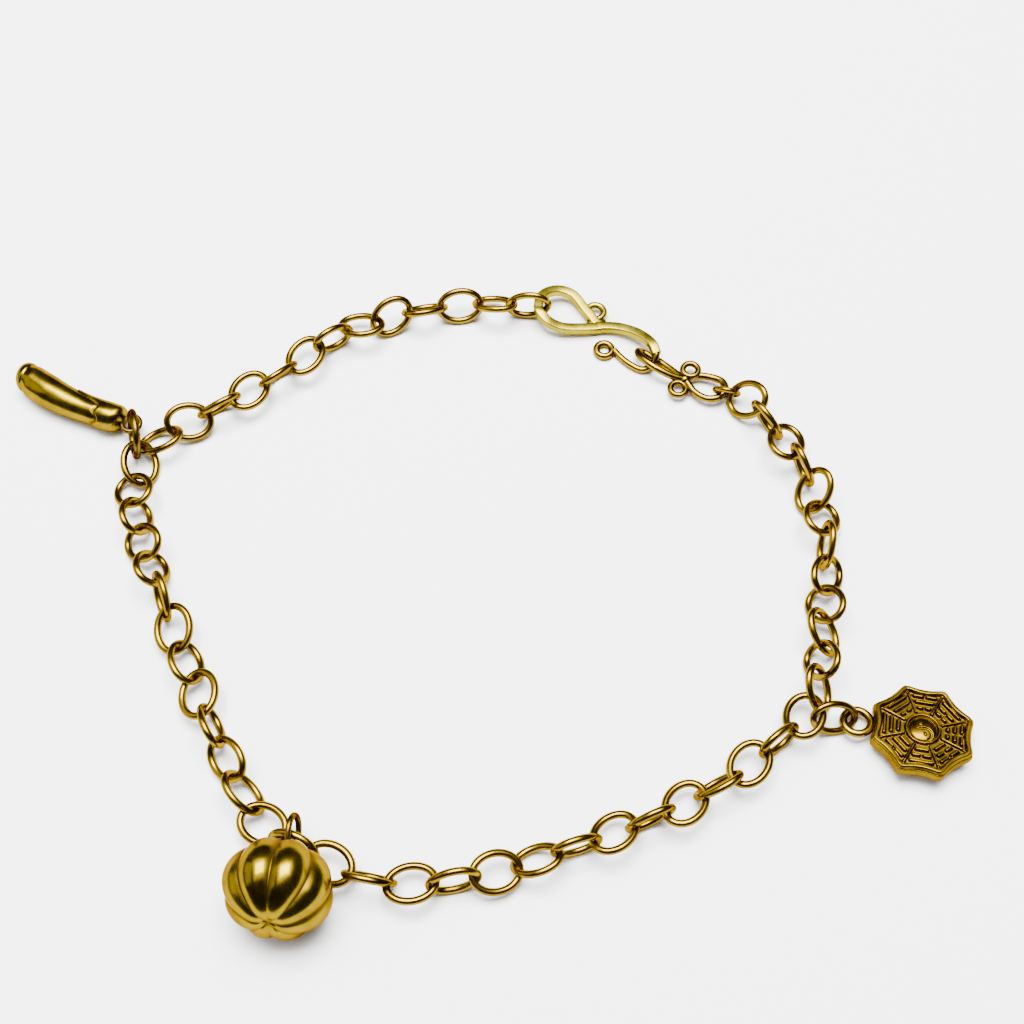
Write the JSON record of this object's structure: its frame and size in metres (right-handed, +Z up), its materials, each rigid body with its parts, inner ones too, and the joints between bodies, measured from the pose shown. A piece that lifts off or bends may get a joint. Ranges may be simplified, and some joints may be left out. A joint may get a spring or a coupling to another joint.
{
  "type": "charm bracelet",
  "caption": "Gold-coloured oval cable-link bracelet with a hook-and-eye clasp, carrying an aubergine, a ribbed melon and an octagonal plaque on rings. Shown lying closed.",
  "frame": {"origin": "middle of the outline's box, on the surface that the bracelet lies on", "axes": "+Z up from the surface, +X to the picture's right, +Y away from its camera"},
  "size_m": [0.0888, 0.0666, 0.0088],
  "materials": {
    "chain": "polished gold-coloured wire",
    "clasp_hook": "bright polished gold-coloured metal",
    "clasp_eye": "polished gold-coloured wire",
    "charm": "polished gold-coloured casting",
    "ring": "polished gold-coloured wire, darker"
  },
  "bodies": {
    "root": {"chain_hook_side": "chain", "chain_eye_side": "chain", "clasp_hook": "clasp_hook", "clasp_eye": "clasp_eye", "aubergine_charm": "charm", "aubergine_ring": "ring", "melon_charm": "charm", "melon_ring": "ring", "octagon_charm": "charm", "octagon_link": "ring"}
  },
  "joints": []
}
